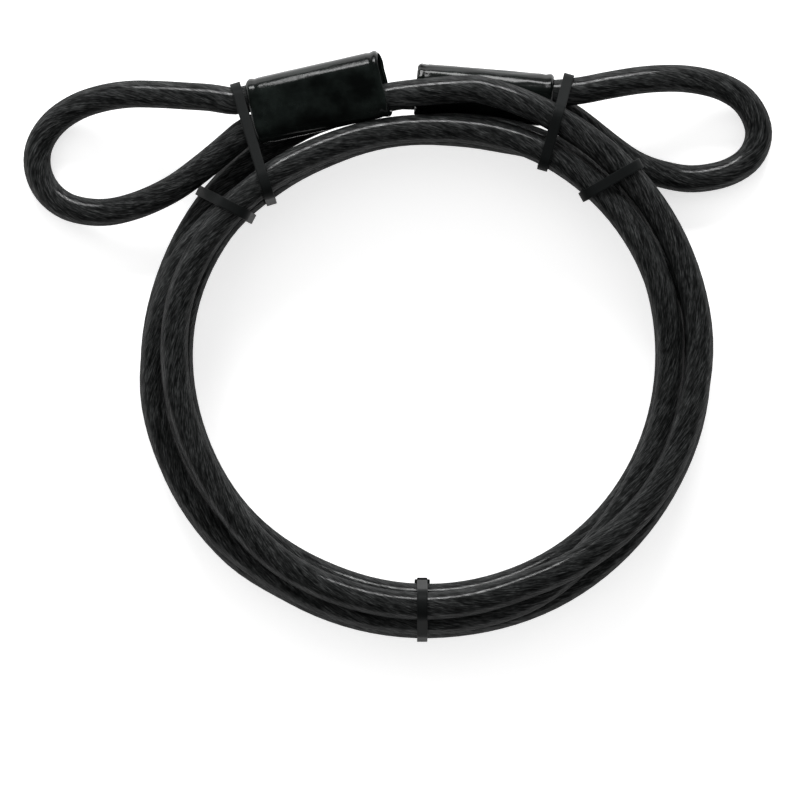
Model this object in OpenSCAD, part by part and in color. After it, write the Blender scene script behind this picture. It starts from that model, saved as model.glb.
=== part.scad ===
// Coiled double-loop security cable: a vinyl-covered steel rope with an eye at
// each end, two crimped ferrules under vinyl covers, and five cable ties.
// Millimetres, +Z up, resting on the tie heads at z = 0.

/* [Cable] */
// Outer diameter of the vinyl jacket
jacket_d = 10; // [9:0.1:10.2]
// Diameter of the steel rope inside it
rope_d = 7.5; // [6:0.1:7.6]
// Running gap between the rope and its jacket
rope_gap = 0.15; // [0.1:0.05:0.3]

/* [Coil] */
// Mean radius of the coil
coil_r = 93.2; // [92:0.1:96]
// Rings along one turn of the tube
rings_per_turn = 24; // [24:12:48]

/* [Ferrules] */
// Length of the aluminium ferrule
ferrule_l = 40; // [34:1:44]
// Distance between the middles of its two bores
bore_spacing = 10.6; // [10.5:0.1:11.2]
// Play of the rope in its bore, on the diameter
bore_play = 0.1; // [0.05:0.05:0.4]
// Metal between a bore and the outside
ferrule_wall = 2; // [1.4:0.1:2.2]

/* [Ferrule covers] */
// Length of the vinyl cover
cover_l = 49.8; // [46:0.2:54]
// Wall of the vinyl cover
cover_wall = 1.1; // [0.9:0.1:1.4]
// Gap between the cover and the ferrule
cover_gap = 0.1; // [0.05:0.05:0.3]
// Width of the rolled rim at each end
rim_w = 2.4; // [1.5:0.1:3]
// Height of that rim over the cover
rim_h = 0.35; // [0.2:0.05:0.5]
// Turn of the right cover about its length
right_roll = 60; // [55:1:70]

/* [Cable ties] */
// Width of a strap
strap_w = 3.8; // [3:0.1:4.4]
// Thickness of a strap
strap_t = 1.1; // [0.8:0.1:1.3]
// Slack between a strap and the strands in it
strap_gap = 0.8; // [0.7:0.05:1]
// Length of a tie's head
head_l = 6; // [5:0.1:7]
// Width of a tie's head
head_w = 5.6; // [4.8:0.1:6.4]
// Depth of a tie's head, from the strap's inner face
head_d = 4.6; // [4:0.1:5]
// Length of the cut tail past the head
tail_l = 2; // [1:0.1:3]

/* [Hidden] */

vinyl = [0.07, 0.08, 0.08];
steel = [0.55, 0.56, 0.57];
aluminium = [0.75, 0.76, 0.77];
nylon = [0.05, 0.05, 0.05];

jacket_r = jacket_d / 2;
rope_r = rope_d / 2;
jacket_in_r = rope_r + rope_gap;
strand_r = jacket_r + strap_gap;
// Middle of the lowest strands, which lie in straps whose heads stand at z = 0
base_z = head_d + strand_r;
coil_sides = 6;
eye_sides = 8;
smooth = 48;

// Coil --------------------------------------------------------------------
// The four turns run clockwise from the left ferrule to the right one.
coil_c = [9.9, -3.9];
start_angle = 97;
first_ring = 12;
last_ring = 1422;
// Stations of the winding: turned angle, offset from the mean radius, height
// above the lowest strands. Offsets and heights run smoothly between them.
stations = [
    [4, 7.8, 25.4], [18, 6.6, 25.2], [40, 6.2, 24], [68, 6.9, 18.8], [90, 7.1, 18.6],
    [108, 5.4, 20], [126, 3.6, 23], [148, -0.4, 25.6], [168, -3.2, 25], [200, -3, 24.6],
    [222, -2.4, 24.4], [246, -3.6, 23.4], [274, -2, 25.2], [290, -1.4, 26.2], [306, -3, 26.6],
    [326, -6.2, 25.8], [347, -8.9, 22.8],
    [364, -9.4, 21.6], [398, -6.2, 21.6], [440, -3.8, 20.9], [458, -3.6, 14.2], [474, -3.5, 11.8],
    [486, -3.4, 12.8], [508, -0.6, 14.6], [526, 2.2, 15.2], [548, 2.4, 15.5], [576, 2.8, 15.3],
    [606, 6.2, 11.8], [626, 6.9, 11.4], [642, 4.8, 14.4], [656, 2.8, 15.8], [670, -1.6, 15.6],
    [682, -5.4, 14], [706, -9, 10.8],
    [724, -9.2, 10.7], [736, -7.4, 10.7], [747, -5.4, 10.7], [760, -3.2, 10.8],
    [774, -2.6, 10.8], [798, -3.6, 10.4], [814, -4, 2.4],
    [826, -4.2, 0], [866, -4.7, 0], [892, -5.6, 0], [926, -6, 0], [960, -4, 0],
    [978, -3.8, 1.7], [1004, -3.3, 6.9], [1028, -4.7, 5.8], [1048, -8.2, 0.5], [1066, -10, 0],
    [1090, -10, 0], [1104, -8.6, 0], [1118, -4.6, 0], [1132, -3, 0], [1152, -0.2, 0], [1168, 6.6, 0],
    [1188, 6.6, 1], [1206, 5.9, 3], [1236, 5.2, 4.7], [1264, 4.1, 4.9], [1296, 4.3, 4.8],
    [1312, 6.4, 2.2], [1330, 6.9, 0], [1356, 6, 0], [1378, 4.6, 0], [1396, 4, 0.1],
    [1416, 3, 1.1], [1436, 2.2, 2.6]
];

// Slope of a smooth curve through one column of the stations
function chord(i, c) = (stations[i + 1][c] - stations[i][c]) / (stations[i + 1][0] - stations[i][0]);
function slope(i, c) =
    (i == 0 || i == len(stations) - 1) ? 0
    : (chord(i - 1, c) * chord(i, c) <= 0) ? 0
    : 2 * chord(i - 1, c) * chord(i, c) / (chord(i - 1, c) + chord(i, c));
function span(a, i = 0) = (i >= len(stations) - 2 || a < stations[i + 1][0]) ? i : span(a, i + 1);
function eased(a, i, c) =
    let (w = stations[i + 1][0] - stations[i][0], t = (a - stations[i][0]) / w)
    (1 + 2 * t) * pow(1 - t, 2) * stations[i][c] + t * pow(1 - t, 2) * w * slope(i, c)
    + t * t * (3 - 2 * t) * stations[i + 1][c] + t * t * (t - 1) * w * slope(i + 1, c);
// A place: turned angle, offset from the mean radius, height above the lowest strands
function beside_coil(place) =
    let (turn = start_angle - place[0], r = coil_r + place[1])
    [coil_c[0] + r * cos(turn), coil_c[1] + r * sin(turn), base_z + place[2]];
function coil_at(a) = let (i = span(a)) beside_coil([a, eased(a, i, 1), eased(a, i, 2)]);
// Middle of the tube at a turned angle; it runs straight from ring to ring
ring_step = 360 / rings_per_turn;
function tube_at(a) =
    let (n = (a - first_ring) / ring_step, i = floor(n), t = n - i)
    (1 - t) * coil_at(first_ring + i * ring_step) + t * coil_at(first_ring + (i + 1) * ring_step);

// Ferrules ----------------------------------------------------------------
// Each runs from its eye's end to its coil's end, along the cover's middle.
bore_d = rope_d + bore_play;
ferrule_w = bore_spacing + bore_d + 2 * ferrule_wall;
ferrule_h = bore_d + 2 * ferrule_wall;
cover_w = ferrule_w + 2 * (cover_gap + cover_wall);
cover_h = ferrule_h + 2 * (cover_gap + cover_wall);

left_mid = beside_coil([-15.15, 9.4, 18.3]);
left_yaw = 12.4;
left_pitch = 9.7;
left_roll = 0;
right_mid = beside_coil([19.6, 5.4, 6.9]);
right_yaw = -4.8;
right_pitch = 0;

// Unit vectors of a ferrule: along it, across its two bores, and square to both
function along(yaw, pitch) = [cos(yaw) * cos(pitch), sin(yaw) * cos(pitch), sin(pitch)];
function level_side(yaw) = [-sin(yaw), cos(yaw), 0];
function upright(yaw, pitch) = [-cos(yaw) * sin(pitch), -sin(yaw) * sin(pitch), cos(pitch)];
function across(yaw, pitch, roll) = cos(roll) * level_side(yaw) + sin(roll) * upright(yaw, pitch);
// A point in a ferrule: distance along it from the middle, and which bore (1 outer, -1 inner)
function left_point(s, bore) =
    left_mid + s * along(left_yaw, left_pitch)
    + bore * bore_spacing / 2 * across(left_yaw, left_pitch, left_roll);
function right_point(s, bore) =
    right_mid + s * along(right_yaw, right_pitch)
    + bore * bore_spacing / 2 * across(right_yaw, right_pitch, right_roll);

half_ferrule = ferrule_l / 2;
half_cover = cover_l / 2;
straight = jacket_d;

// Routes ------------------------------------------------------------------
coil_route = concat(
    [left_point(half_ferrule, -1), left_point(half_ferrule + straight, -1)],
    [for (a = [first_ring : ring_step : last_ring]) coil_at(a)],
    [right_point(-half_ferrule - straight, -1), right_point(-half_ferrule, -1)]
);
coil_rope_route = concat(
    [left_point(-half_ferrule, -1)], coil_route, [right_point(half_ferrule, -1)]
);

// Each eye runs from the outer bore, round its tip and back to the inner bore.
// Its points are places beside the coil, like the stations.
function placed(points) = [for (p = points) beside_coil(p)];
left_outer_neck = [[-29.45, 23.6, 12.6], [-32.45, 30.1, 10.6], [-35.5, 36.9, 8.4]];
left_tip = [
    [-38.4, 44.3, 5.8], [-41.15, 51.7, 3.3], [-44.05, 58.4, 0.8], [-46.95, 63.8, -1.4], [-49.85, 67.3, -3.1],
    [-52.25, 68.5, -4], [-54.5, 68, -4.5], [-56.5, 65.6, -4.7], [-58.2, 61.5, -4.6], [-59.4, 56.2, -4.2],
    [-59.95, 49.6, -3.5], [-59.5, 41.9, -2.3], [-58.15, 34.5, -0.6], [-55.5, 27.3, 1.6], [-52.3, 21.8, 3.8],
    [-48.3, 17.3, 6.2]
];
left_inner_neck = [[-43.4, 14.4, 8.6], [-39, 13, 10.6], [-35.1, 12.5, 12.3], [-31.95, 12.4, 13.5]];
right_outer_neck = [[37.05, 19.8, 10.4], [40.9, 27.1, 8.4], [44.2, 34.3, 6.4], [46.75, 39.9, 4.6]];
right_tip = [
    [49.6, 45.9, 2.5], [52.55, 51.2, 0.4], [55.25, 55, -1.3], [57.9, 57, -2.7], [60.55, 56.7, -3.7],
    [62.85, 54.5, -4.4], [64.55, 50.2, -4.7], [65.45, 44.8, -4.8], [65.45, 37.7, -4.5], [64.45, 30.3, -4]
];
right_inner_neck = [
    [62.55, 23.3, -3.3], [59.45, 17.3, -2.4], [56.25, 13.2, -1.5], [52.8, 10.8, -0.7], [48.8, 9.7, 0.1],
    [44.9, 9.5, 0.7], [41.7, 9.7, 1.3], [38.6, 10, 1.8], [36.15, 10, 2.1]
];
left_eye_route = concat(
    [left_point(-half_ferrule, 1), left_point(-half_cover, 1)],
    placed(concat(left_outer_neck, left_tip, left_inner_neck)),
    [left_point(-half_cover, -1), left_point(-half_ferrule, -1)]
);
right_eye_route = concat(
    [right_point(half_ferrule, 1), right_point(half_cover, 1)],
    placed(concat(right_outer_neck, right_tip, right_inner_neck)),
    [right_point(half_cover, -1), right_point(half_ferrule, -1)]
);
mouth_points = 2;
left_tip_start = mouth_points + len(left_outer_neck) - 1;
left_tip_end = left_tip_start + len(left_tip) + 1;
right_tip_start = mouth_points + len(right_outer_neck) - 1;
right_tip_end = right_tip_start + len(right_tip) + 1;

function path_length(path) =
    let (steps = [for (i = [1 : len(path) - 1]) norm(path[i] - path[i - 1])])
    steps * [for (s = steps) 1];

// Least distance between stretches of the coil a turn or so apart, on points
// a quarter of a ring apart, less the jacket
sample_step = 0.25;
coil_samples = [
    for (i = [0 : len(coil_route) - 2])
        for (t = [0 : sample_step : 1 - sample_step])
            (1 - t) * coil_route[i] + t * coil_route[i + 1]
];
third_of_turn = round(rings_per_turn / 3 / sample_step);
coil_gap = min([
    for (i = [0 : len(coil_samples) - third_of_turn - 1])
        for (j = [i + third_of_turn : len(coil_samples) - 1])
            norm(coil_samples[i] - coil_samples[j])
]) - jacket_d;
echo(str("Least gap of the coil to itself: ", coil_gap, " mm"));
echo(str("Jacketed cable: coil ", path_length(coil_route), " mm, left eye ",
    path_length(left_eye_route), " mm, right eye ", path_length(right_eye_route), " mm"));

// Tubes -------------------------------------------------------------------
function unit(v) = v / norm(v);
function tangent(path, i) =
    i == 0 ? unit(path[1] - path[0])
    : i == len(path) - 1 ? unit(path[i] - path[i - 1])
    : unit(unit(path[i + 1] - path[i]) + unit(path[i] - path[i - 1]));
function ring(path, i, r, sides) =
    let (t = tangent(path, i), side = unit(cross([0, 0, 1], t)), top = cross(t, side))
    [for (k = [0 : sides - 1])
        path[i] + r * (cos(360 * (k + 0.5) / sides) * side + sin(360 * (k + 0.5) / sides) * top)];

// Wall between two rings that start at points a and b
function band(a, b, sides, inward) = [
    for (k = [0 : sides - 1])
        let (n = (k + 1) % sides)
        each inward
            ? [[a + k, b + n, a + n], [a + k, b + k, b + n]]
            : [[a + k, a + n, b + n], [a + k, b + n, b + k]]
];

// Solid tube along path[from..to]
module cord(path, from, to, r, sides) {
    count = to - from + 1;
    last = (count - 1) * sides;
    polyhedron(
        points = [for (i = [from : to]) each ring(path, i, r, sides)],
        faces = concat(
            [for (i = [0 : count - 2]) each band(i * sides, (i + 1) * sides, sides, true)],
            [for (k = [1 : sides - 2]) [0, k, k + 1]],
            [for (k = [1 : sides - 2]) [last, last + k + 1, last + k]]
        )
    );
}

// Hollow tube along path[from..to]
module sleeve(path, from, to, r_out, r_in, sides) {
    count = to - from + 1;
    inner = count * sides;
    last = (count - 1) * sides;
    polyhedron(
        points = concat(
            [for (i = [from : to]) each ring(path, i, r_out, sides)],
            [for (i = [from : to]) each ring(path, i, r_in, sides)]
        ),
        faces = concat(
            [for (i = [0 : count - 2]) each band(i * sides, (i + 1) * sides, sides, true)],
            [for (i = [0 : count - 2])
                each band(inner + i * sides, inner + (i + 1) * sides, sides, false)],
            band(0, inner, sides, false),
            band(last, inner + last, sides, true)
        )
    );
}

// Ties --------------------------------------------------------------------
// A tie stands in an upright plane through a point of the coil; u runs outwards.
// The strands in it are met at both edges of the strap, because they cross aslant.
function plane_u(p, origin, yaw) = (p[0] - origin[0]) * cos(yaw) + (p[1] - origin[1]) * sin(yaw);
function plane_off(p, origin, yaw) = -(p[0] - origin[0]) * sin(yaw) + (p[1] - origin[1]) * cos(yaw);
function in_plane(p, origin, yaw) = [plane_u(p, origin, yaw), p[2]];
strap_edges = [-strap_w / 2, strap_w / 2];
// Places of the two lowest strands in that list
third_turn = 2 * len(strap_edges);
fourth_turn = 3 * len(strap_edges);
// Turned angle at which the coil meets a strap's edge, by steps from a first guess
function meets(a, origin, yaw, edge, steps = 4) =
    let (
        off = plane_off(tube_at(a), origin, yaw) - edge,
        rate = plane_off(tube_at(a + 1), origin, yaw) - edge - off
    )
    steps == 0 ? a : meets(a - off / rate, origin, yaw, edge, steps - 1);
function turns_in_strap(phase, origin, yaw) = [
    for (turn = [0 : 3], edge = strap_edges)
        in_plane(tube_at(meets(phase + 360 * turn, origin, yaw, edge)), origin, yaw)
];
// Plan place at a given way from a point, for a strap beside a cover's end
function plan_from(p, way) = [p[0] + way[0], p[1] + way[1]];
// Where a stretch of a route, between two of its points, meets a strap's edges
function route_in_strap(path, from, to, origin, yaw) = [
    for (edge = strap_edges, i = [from : to - 1])
        let (
            d0 = plane_off(path[i], origin, yaw) - edge,
            d1 = plane_off(path[i + 1], origin, yaw) - edge
        )
        if (d0 * d1 <= 0) in_plane((d0 * path[i + 1] - d1 * path[i]) / (d0 - d1), origin, yaw)
];

module band_outline(strands, r) {
    hull()
        for (s = strands)
            translate(s) circle(r = r, $fn = 32);
}

module tie(strands, origin, yaw, head_u) {
    color(nylon)
        translate([origin[0], origin[1], 0])
            rotate([90, 0, yaw]) {
                linear_extrude(strap_w, center = true)
                    difference() {
                        band_outline(strands, strand_r + strap_t);
                        band_outline(strands, strand_r);
                    }
                translate([head_u - head_l / 2, 0, -head_w / 2])
                    cube([head_l, head_d, head_w]);
                translate([head_u - head_l / 2 - tail_l, head_d - 2.4 * strap_t, -strap_w / 2])
                    cube([tail_l + 0.5, strap_t, strap_w]);
            }
}

// Ferrule parts -----------------------------------------------------------
module oval(w, h) {
    for (side = [-1, 1])
        translate([0, side * (w - h) / 2]) circle(d = h, $fn = smooth);
    square([h, w - h], center = true);
}

module on_ferrule(mid, yaw, pitch, roll) {
    translate(mid)
        rotate([0, 90 - pitch, yaw])
            rotate([0, 0, roll])
                children();
}

module ferrule(mid, yaw, pitch, roll) {
    color(aluminium)
        on_ferrule(mid, yaw, pitch, roll)
            difference() {
                linear_extrude(ferrule_l, center = true) oval(ferrule_w, ferrule_h);
                for (side = [-1, 1])
                    translate([0, side * bore_spacing / 2, 0])
                        cylinder(d = bore_d, h = ferrule_l + 2, center = true, $fn = smooth);
            }
}

module ferrule_cover(mid, yaw, pitch, roll) {
    color(vinyl)
        on_ferrule(mid, yaw, pitch, roll)
            difference() {
                union() {
                    linear_extrude(cover_l, center = true) oval(cover_w, cover_h);
                    for (side = [-1, 1])
                        translate([0, 0, side * (cover_l - rim_w) / 2])
                            linear_extrude(rim_w, center = true)
                                oval(cover_w + 2 * rim_h, cover_h + 2 * rim_h);
                }
                linear_extrude(cover_l + 2, center = true)
                    oval(ferrule_w + 2 * cover_gap, ferrule_h + 2 * cover_gap);
            }
}

// Sub-parts ---------------------------------------------------------------
module coil_jacket() {
    color(vinyl) sleeve(coil_route, 0, len(coil_route) - 1, jacket_r, jacket_in_r, coil_sides);
}

module coil_rope() {
    color(steel) cord(coil_rope_route, 0, len(coil_rope_route) - 1, rope_r, coil_sides);
}

module left_eye_jacket() {
    color(vinyl)
        sleeve(left_eye_route, left_tip_start, left_tip_end, jacket_r, jacket_in_r, eye_sides);
}

module left_eye_rope() {
    color(steel) cord(left_eye_route, left_tip_start, left_tip_end, rope_r, eye_sides);
}

module left_neck_jackets() {
    color(vinyl) {
        sleeve(left_eye_route, 0, left_tip_start, jacket_r, jacket_in_r, eye_sides);
        sleeve(left_eye_route, left_tip_end, len(left_eye_route) - 1, jacket_r, jacket_in_r, eye_sides);
    }
}

module left_neck_ropes() {
    with_end = concat([left_point(half_ferrule, 1)], left_eye_route);
    color(steel) {
        cord(with_end, 0, left_tip_start + 1, rope_r, eye_sides);
        cord(left_eye_route, left_tip_end, len(left_eye_route) - 1, rope_r, eye_sides);
    }
}

module right_eye_jacket() {
    color(vinyl)
        sleeve(right_eye_route, right_tip_start, right_tip_end, jacket_r, jacket_in_r, eye_sides);
}

module right_eye_rope() {
    color(steel) cord(right_eye_route, right_tip_start, right_tip_end, rope_r, eye_sides);
}

module right_neck_jackets() {
    color(vinyl) {
        sleeve(right_eye_route, 0, right_tip_start, jacket_r, jacket_in_r, eye_sides);
        sleeve(right_eye_route, right_tip_end, len(right_eye_route) - 1, jacket_r, jacket_in_r, eye_sides);
    }
}

module right_neck_ropes() {
    with_end = concat([right_point(-half_ferrule, 1)], right_eye_route);
    color(steel) {
        cord(with_end, 0, right_tip_start + 1, rope_r, eye_sides);
        cord(right_eye_route, right_tip_end, len(right_eye_route) - 1, rope_r, eye_sides);
    }
}

module left_ferrule() {
    ferrule(left_mid, left_yaw, left_pitch, left_roll);
}

module right_ferrule() {
    ferrule(right_mid, right_yaw, right_pitch, right_roll);
}

module left_ferrule_cover() {
    ferrule_cover(left_mid, left_yaw, left_pitch, left_roll);
}

module right_ferrule_cover() {
    ferrule_cover(right_mid, right_yaw, right_pitch, right_roll);
}

module left_loop_tie() {
    origin = plan_from(left_point(-half_cover, 0), [1.1, -15.3]);
    yaw = 107;
    strands = concat(
        turns_in_strap(331, origin, yaw),
        route_in_strap(left_eye_route, 0, left_tip_start, origin, yaw),
        route_in_strap(left_eye_route, left_tip_end, len(left_eye_route) - 1, origin, yaw)
    );
    tie(strands, origin, yaw, strands[fourth_turn][0]);
}

module left_coil_tie() {
    origin = plan_from(left_point(-half_cover, 0), [-8.7, -34.3]);
    yaw = 152;
    strands = turns_in_strap(312, origin, yaw);
    tie(strands, origin, yaw, strands[fourth_turn][0]);
}

module upper_tie() {
    origin = plan_from(right_point(half_cover, 0), [1.8, -6]);
    yaw = 74;
    strands = concat(
        turns_in_strap(34, origin, yaw),
        route_in_strap(right_eye_route, 0, right_tip_start, origin, yaw),
        route_in_strap(right_eye_route, right_tip_end, len(right_eye_route) - 1, origin, yaw)
    );
    tie(strands, origin, yaw, strands[fourth_turn][0]);
}

module right_tie() {
    origin = beside_coil([53.35, 1.5, 0]);
    yaw = 30;
    strands = turns_in_strap(53, origin, yaw);
    tie(strands, origin, yaw, strands[fourth_turn][0]);
}

module bottom_tie() {
    origin = beside_coil([-172.35, 0.9, 0]);
    yaw = -90;
    // The head sits a little inside the innermost strand
    head_shift = -3.4;
    strands = turns_in_strap(187, origin, yaw);
    tie(strands, origin, yaw, strands[third_turn][0] + head_shift);
}

coil_jacket();
coil_rope();
left_eye_jacket();
left_eye_rope();
left_neck_jackets();
left_neck_ropes();
right_eye_jacket();
right_eye_rope();
right_neck_jackets();
right_neck_ropes();
left_ferrule();
right_ferrule();
left_ferrule_cover();
right_ferrule_cover();
left_loop_tie();
left_coil_tie();
upper_tie();
right_tie();
bottom_tie();
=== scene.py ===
"""Builds the visible model of a coiled security cable with two eyes, two ferrule
covers and five cable ties, round the fixed frame of its solids."""
import math

import bpy
from mathutils import Matrix, Vector, geometry, noise


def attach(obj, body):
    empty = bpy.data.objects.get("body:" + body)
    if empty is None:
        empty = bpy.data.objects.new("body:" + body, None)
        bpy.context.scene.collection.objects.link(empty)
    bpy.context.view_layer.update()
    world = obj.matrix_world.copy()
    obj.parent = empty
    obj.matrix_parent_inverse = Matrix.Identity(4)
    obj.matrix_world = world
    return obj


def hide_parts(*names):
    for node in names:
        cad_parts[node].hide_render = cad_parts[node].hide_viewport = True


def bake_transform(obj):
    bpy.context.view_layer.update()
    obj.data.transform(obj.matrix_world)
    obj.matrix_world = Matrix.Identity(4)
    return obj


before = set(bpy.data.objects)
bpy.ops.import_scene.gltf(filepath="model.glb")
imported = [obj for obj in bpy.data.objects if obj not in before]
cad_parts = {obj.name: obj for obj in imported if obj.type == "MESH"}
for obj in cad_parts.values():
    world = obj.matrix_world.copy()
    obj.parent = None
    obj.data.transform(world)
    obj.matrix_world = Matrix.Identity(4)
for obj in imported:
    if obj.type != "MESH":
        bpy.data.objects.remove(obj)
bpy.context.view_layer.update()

bl_info = {
    "name": "Coiled Security Cable",
    "version": (1, 0, 0),
    "blender": (4, 5, 0),
    "location": "View3D > Sidebar > Cable",
    "description": "Models a coiled vinyl-covered cable with eyes, ferrule covers and ties",
    "category": "Add Mesh",
}

# Route of the coil ------------------------------------------------------------
COIL_R = 0.0932  # mean radius of the turns
COIL_C = (0.0099, -0.0039)
BASE_Z = 0.0104  # middle of the lowest strands
START_ANGLE = 97
FIRST_TURN = 18  # turned angles between which the coil's stations are followed
LAST_TURN = 1422
PATH_STEP = 3
# Places: turned angle, offset from the mean radius, height above the lowest strands
STATIONS = (
    (4, 0.0078, 0.0254), (18, 0.0066, 0.0252), (40, 0.0062, 0.024), (68, 0.0069, 0.0188),
    (90, 0.0071, 0.0186), (108, 0.0054, 0.02), (126, 0.0036, 0.023), (148, -0.0004, 0.0256),
    (168, -0.0032, 0.025), (200, -0.003, 0.0246), (222, -0.0024, 0.0244), (246, -0.0036, 0.0234),
    (274, -0.002, 0.0252), (290, -0.0014, 0.0262), (306, -0.003, 0.0266), (326, -0.0062, 0.0258),
    (347, -0.0089, 0.0228), (364, -0.0094, 0.0216), (398, -0.0062, 0.0216),
    (440, -0.0038, 0.0209), (458, -0.0036, 0.0142), (474, -0.0035, 0.0118),
    (486, -0.0034, 0.0128), (508, -0.0006, 0.0146), (526, 0.0022, 0.0152), (548, 0.0024, 0.0155),
    (576, 0.0028, 0.0153), (606, 0.0062, 0.0118), (626, 0.0069, 0.0114), (642, 0.0048, 0.0144),
    (656, 0.0028, 0.0158), (670, -0.0016, 0.0156), (682, -0.0054, 0.014), (706, -0.009, 0.0108),
    (724, -0.0092, 0.0107), (736, -0.0074, 0.0107), (747, -0.0054, 0.0107),
    (760, -0.0032, 0.0108), (774, -0.0026, 0.0108), (798, -0.0036, 0.0104), (814, -0.004, 0.0024),
    (826, -0.0042, 0), (866, -0.0047, 0), (892, -0.0056, 0), (926, -0.006, 0), (960, -0.004, 0),
    (978, -0.0038, 0.0017), (1004, -0.0033, 0.0069), (1028, -0.0047, 0.0058),
    (1048, -0.0082, 0.0005), (1066, -0.01, 0), (1090, -0.01, 0), (1104, -0.0086, 0),
    (1118, -0.0046, 0), (1132, -0.003, 0), (1152, -0.0002, 0), (1168, 0.0066, 0),
    (1188, 0.0066, 0.001), (1206, 0.0059, 0.003), (1236, 0.0052, 0.0047), (1264, 0.0041, 0.0049),
    (1296, 0.0043, 0.0048), (1312, 0.0064, 0.0022), (1330, 0.0069, 0), (1356, 0.006, 0),
    (1378, 0.0046, 0), (1396, 0.004, 0.0001), (1416, 0.003, 0.0011), (1436, 0.0022, 0.0026),
)
# Eyes, from the outer bore round the tip to the inner bore
LEFT_EYE = (
    (-29.45, 0.0236, 0.0126), (-32.45, 0.0301, 0.0106), (-35.5, 0.0369, 0.0084),
    (-38.4, 0.0443, 0.0058), (-41.15, 0.0517, 0.0033), (-44.05, 0.0584, 0.0008),
    (-46.95, 0.0638, -0.0014), (-49.85, 0.0673, -0.0031), (-52.25, 0.0685, -0.004),
    (-54.5, 0.068, -0.0045), (-56.5, 0.0656, -0.0047), (-58.2, 0.0615, -0.0046),
    (-59.4, 0.0562, -0.0042), (-59.95, 0.0496, -0.0035), (-59.5, 0.0419, -0.0023),
    (-58.15, 0.0345, -0.0006), (-55.5, 0.0273, 0.0016), (-52.3, 0.0218, 0.0038),
    (-48.3, 0.0173, 0.0062), (-43.4, 0.0144, 0.0086), (-39, 0.013, 0.0106),
    (-35.1, 0.0125, 0.0123), (-31.95, 0.0124, 0.0135),
)
RIGHT_EYE = (
    (37.05, 0.0198, 0.0104), (40.9, 0.0271, 0.0084), (44.2, 0.0343, 0.0064),
    (46.75, 0.0399, 0.0046), (49.6, 0.0459, 0.0025), (52.55, 0.0512, 0.0004),
    (55.25, 0.055, -0.0013), (57.9, 0.057, -0.0027), (60.55, 0.0567, -0.0037),
    (62.85, 0.0545, -0.0044), (64.55, 0.0502, -0.0047), (65.45, 0.0448, -0.0048),
    (65.45, 0.0377, -0.0045), (64.45, 0.0303, -0.004), (62.55, 0.0233, -0.0033),
    (59.45, 0.0173, -0.0024), (56.25, 0.0132, -0.0015), (52.8, 0.0108, -0.0007),
    (48.8, 0.0097, 0.0001), (44.9, 0.0095, 0.0007), (41.7, 0.0097, 0.0013), (38.6, 0.01, 0.0018),
    (36.15, 0.01, 0.0021),
)

# Ferrules: place of the middle, heading and rise of the length, and turn about it
FERRULES = {
    "left": {"mid": (-15.15, 0.0094, 0.0183), "yaw": 12.4, "pitch": 9.7, "roll": 0},
    "right": {"mid": (19.6, 0.0054, 0.0069), "yaw": -4.8, "pitch": 0, "roll": 60},
}
TO_EYE = {"left": -1, "right": 1}  # which end of a ferrule its eye leaves
HALF_FERRULE = 0.020
HALF_COVER = 0.0249
BORE_SPACING = 0.0106
COVER_W = 0.0246
COVER_H = 0.014
STRAIGHT_OUT = 0.0075  # straight cable past the left ferrule, and before the right one
STRAIGHT_IN = 0.010

# Ties: yaw is the strap's way out of the ring. The strap stands at a place on the coil,
# or this way from the mouth of a cover, and goes round the coil and the eye named. The
# head stands under the strand of this number, shifted. A tail named isn't of usual length.
TIES = {
    "left_loop_tie": {"yaw": 107, "eye": "left", "cover": "left", "way": (0.0011, -0.0153)},
    "left_coil_tie": {"yaw": 152, "cover": "left", "way": (-0.0087, -0.0343)},
    "upper_tie": {"yaw": 74, "eye": "right", "cover": "right", "way": (0.0018, -0.006)},
    "right_tie": {"yaw": 30, "place": (53.35, 0.0015, 0)},
    "bottom_tie": {
        "yaw": -90, "place": (-172.35, 0.0009, 0), "head": (2, -0.0034), "tail": 0.0006,
    },
}
USUAL_HEAD = (3, 0)
TIE_REACH = 0.045  # how far from its place a strap takes in cables
STRAP_STEP = 0.0009
STRAP_STRIPS = (0.16, 0.08, 0.52, 0.08, 0.16)  # shares of the width, extruded in turn
HULL_POINTS = 72  # points round each cable, which the strap's line is drawn round
SLOT_RIM = 0.0009
SLOT_DEPTH = 0.0008
TAIL_INSIDE = 0.001  # part of the tail that stays in the head
STRAP_ROUND = 0.0002
HEAD_ROUND = 0.0003
TAIL_ROUND = 0.00025

# What the camera takes in: its middle and width, at this height over the ground
VIEW_MIDDLE = (0.00071, -0.01904)
VIEW_WIDTH = 0.2918
VIEW_PLANE = 0.024
SENSOR = 36

# Lamps: where each stands, what it points at, its size, and whether it shows in gloss
LAMPS = {
    "overhead": ((-0.6, 0.9, 1.7), (0, 0, 0), (1.6, 1.6), False),
    "softbox": ((-0.05, 0.95, 0.5), (0, 0, 0.02), (0.9, 0.3), True),
}
FLOOR_SIZE = 8
FLOOR_GLOW = 0.6
WHITE = (1, 1, 1, 1)
CEILING = (0.022, 0.022, 0.022, 1)
SKY = (0.9, 0.9, 0.9, 1)
SKY_STRENGTH = 0.56


# Routes -----------------------------------------------------------------------
def chord(i, c):
    return (STATIONS[i + 1][c] - STATIONS[i][c]) / (STATIONS[i + 1][0] - STATIONS[i][0])


def slope(i, c):
    """Slope of the smooth curve through one column of the stations."""
    if i == 0 or i == len(STATIONS) - 1:
        return 0
    before, after = chord(i - 1, c), chord(i, c)
    return 0 if before * after <= 0 else 2 * before * after / (before + after)


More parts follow.
